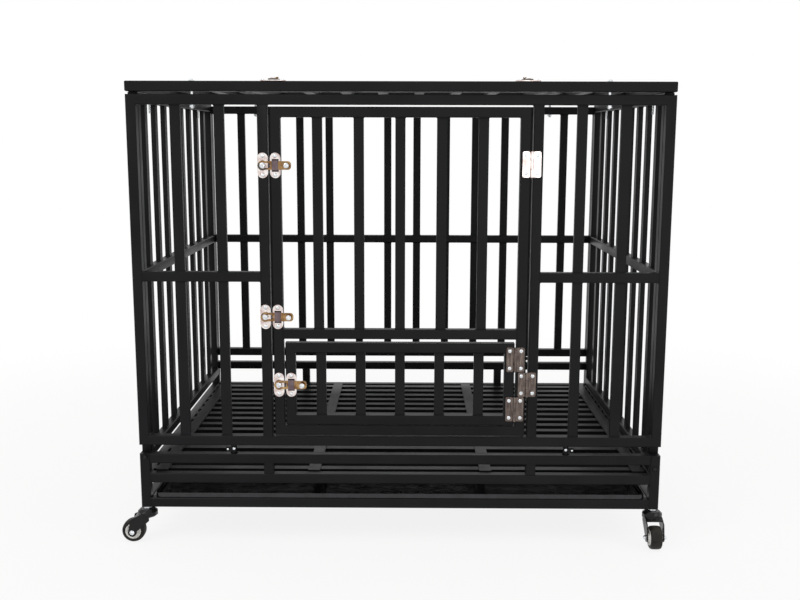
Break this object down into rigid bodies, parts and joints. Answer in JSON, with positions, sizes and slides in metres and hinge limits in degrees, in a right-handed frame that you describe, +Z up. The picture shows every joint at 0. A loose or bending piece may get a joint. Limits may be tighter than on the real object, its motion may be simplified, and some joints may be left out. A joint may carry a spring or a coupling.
{
  "type": "folding dog crate",
  "caption": "Folding dog crate of welded black square tube on swivel casters, with a front door, a feeding door in it, a roof hatch, keyhole slide bolts and a slide-out tray.",
  "frame": {"origin": "on the floor, under the centre of the crate", "axes": "+X to the right seen from the front, +Y from the front to the back, +Z up"},
  "size_m": [1.17, 0.877, 0.963],
  "materials": {
    "powder_coat": "black textured powder coat, satin",
    "gloss_enamel": "black gloss enamel on pressed steel",
    "zinc_plate": "bright zinc plate",
    "nickel_plate": "polished nickel plate",
    "tray_sheet": "smooth black coated sheet",
    "polyurethane": "moulded black polyurethane"
  },
  "bodies": {
    "root": {"base_frame": "powder_coat", "front_sill_rail": "powder_coat", "back_sill_rail": "powder_coat", "floor_grate": "powder_coat", "front_panel": "powder_coat", "back_panel": "powder_coat", "top_panel": "powder_coat", "door_hinge_post_leaf_lower": "nickel_plate", "door_latch_keeper_lower": "nickel_plate", "door_hinge_post_leaf_upper": "nickel_plate", "door_latch_keeper_upper": "nickel_plate", "hatch_hinge_fixed_leaf_left": "nickel_plate", "hatch_latch_keeper_left": "nickel_plate", "pivot_bolt_left_front": "zinc_plate", "roof_bolt_left_front": "zinc_plate", "caster_stem_left_front": "nickel_plate", "pivot_bolt_left_back": "zinc_plate", "roof_bolt_left_back": "zinc_plate", "caster_stem_left_back": "nickel_plate", "hatch_hinge_fixed_leaf_right": "nickel_plate", "hatch_latch_keeper_right": "nickel_plate", "pivot_bolt_right_front": "zinc_plate", "roof_bolt_right_front": "zinc_plate", "caster_stem_right_front": "nickel_plate", "pivot_bolt_right_back": "zinc_plate", "roof_bolt_right_back": "zinc_plate", "caster_stem_right_back": "nickel_plate"},
    "main_door": {"main_door": "powder_coat", "door_hinge_moving_leaf_lower": "nickel_plate", "door_latch_guide_lower": "nickel_plate", "feeding_hinge_fixed_leaf_lower": "nickel_plate", "door_hinge_moving_leaf_upper": "nickel_plate", "door_latch_guide_upper": "nickel_plate", "feeding_hinge_fixed_leaf_upper": "nickel_plate", "feeding_latch_keeper": "nickel_plate"},
    "feeding_door": {"feeding_door": "powder_coat", "feeding_hinge_moving_leaf_lower": "nickel_plate", "feeding_hinge_moving_leaf_upper": "nickel_plate", "feeding_latch_guide": "nickel_plate"},
    "top_hatch": {"top_hatch": "powder_coat", "hatch_hinge_moving_leaf_left": "nickel_plate", "hatch_latch_guide_left": "nickel_plate", "hatch_hinge_moving_leaf_right": "nickel_plate", "hatch_latch_guide_right": "nickel_plate"},
    "left_side_panel": {"left_side_panel": "powder_coat"},
    "right_side_panel": {"right_side_panel": "powder_coat"},
    "tray": {"tray": "tray_sheet"},
    "door_latch_bolt_lower": {"door_latch_bolt_lower": "nickel_plate"},
    "door_latch_bolt_upper": {"door_latch_bolt_upper": "nickel_plate"},
    "feeding_latch_bolt": {"feeding_latch_bolt": "nickel_plate"},
    "hatch_latch_bolt_left": {"hatch_latch_bolt_left": "nickel_plate"},
    "hatch_latch_bolt_right": {"hatch_latch_bolt_right": "nickel_plate"},
    "caster_fork_left_front": {"caster_fork_left_front": "gloss_enamel"},
    "caster_wheel_left_front": {"caster_wheel_left_front": "polyurethane"},
    "caster_fork_left_back": {"caster_fork_left_back": "gloss_enamel"},
    "caster_wheel_left_back": {"caster_wheel_left_back": "polyurethane"},
    "caster_fork_right_front": {"caster_fork_right_front": "gloss_enamel"},
    "caster_wheel_right_front": {"caster_wheel_right_front": "polyurethane"},
    "caster_fork_right_back": {"caster_fork_right_back": "gloss_enamel"},
    "caster_wheel_right_back": {"caster_wheel_right_back": "polyurethane"}
  },
  "joints": [
    {"name": "main_door_hinge", "type": "hinge", "parent": "root", "child": "main_door", "pos_m": [0.2595, -0.397, 0.5], "axis": [0, 0, 1], "range_deg": [0, 105]},
    {"name": "feeding_door_hinge", "type": "hinge", "parent": "main_door", "child": "feeding_door", "pos_m": [0.23525, -0.397, 0.34], "axis": [0, 0, 1], "range_deg": [0, 75]},
    {"name": "top_hatch_hinge", "type": "hinge", "parent": "root", "child": "top_hatch", "pos_m": [0, 0.3715, 0.955], "axis": [-1, 0, 0], "range_deg": [0, 170]},
    {"name": "left_side_fold", "type": "hinge", "parent": "root", "child": "left_side_panel", "pos_m": [-0.5285, 0, 0.187], "axis": [0, 1, 0], "range_deg": [0, 90]},
    {"name": "right_side_fold", "type": "hinge", "parent": "root", "child": "right_side_panel", "pos_m": [0.5285, 0, 0.166], "axis": [0, -1, 0], "range_deg": [0, 90]},
    {"name": "tray_slide", "type": "slide", "parent": "root", "child": "tray", "axis": [0, -1, 0], "range_m": [0, 0.62]},
    {"name": "door_latch_slide_lower", "type": "slide", "parent": "main_door", "child": "door_latch_bolt_lower", "axis": [-1, 0, 0], "range_m": [0, 0.0105]},
    {"name": "door_latch_slide_upper", "type": "slide", "parent": "main_door", "child": "door_latch_bolt_upper", "axis": [-1, 0, 0], "range_m": [0, 0.0105]},
    {"name": "feeding_latch_slide", "type": "slide", "parent": "feeding_door", "child": "feeding_latch_bolt", "axis": [-1, 0, 0], "range_m": [0, 0.0105]},
    {"name": "hatch_latch_slide_left", "type": "slide", "parent": "top_hatch", "child": "hatch_latch_bolt_left", "axis": [0, -1, 0], "range_m": [0, 0.0105]},
    {"name": "hatch_latch_slide_right", "type": "slide", "parent": "top_hatch", "child": "hatch_latch_bolt_right", "axis": [0, -1, 0], "range_m": [0, 0.0105]},
    {"name": "caster_swivel_left_front", "type": "hinge", "parent": "root", "child": "caster_fork_left_front", "pos_m": [-0.53, -0.3835, 0.063], "axis": [0, 0, 1], "continuous": true},
    {"name": "wheel_spin_left_front", "type": "hinge", "parent": "caster_fork_left_front", "child": "caster_wheel_left_front", "pos_m": [-0.56, -0.3835, 0.025], "axis": [0, 1, 0], "continuous": true},
    {"name": "caster_swivel_right_front", "type": "hinge", "parent": "root", "child": "caster_fork_right_front", "pos_m": [0.53, -0.3835, 0.063], "axis": [0, 0, 1], "continuous": true},
    {"name": "wheel_spin_right_front", "type": "hinge", "parent": "caster_fork_right_front", "child": "caster_wheel_right_front", "pos_m": [0.53, -0.4135, 0.025], "axis": [1, 0, 0], "continuous": true},
    {"name": "caster_swivel_right_back", "type": "hinge", "parent": "root", "child": "caster_fork_right_back", "pos_m": [0.53, 0.3835, 0.063], "axis": [0, 0, 1], "continuous": true},
    {"name": "wheel_spin_right_back", "type": "hinge", "parent": "caster_fork_right_back", "child": "caster_wheel_right_back", "pos_m": [0.56, 0.3835, 0.025], "axis": [0, 1, 0], "continuous": true},
    {"name": "caster_swivel_left_back", "type": "hinge", "parent": "root", "child": "caster_fork_left_back", "pos_m": [-0.53, 0.3835, 0.063], "axis": [0, 0, 1], "continuous": true},
    {"name": "wheel_spin_left_back", "type": "hinge", "parent": "caster_fork_left_back", "child": "caster_wheel_left_back", "pos_m": [-0.53, 0.4135, 0.025], "axis": [1, 0, 0], "continuous": true}
  ]
}
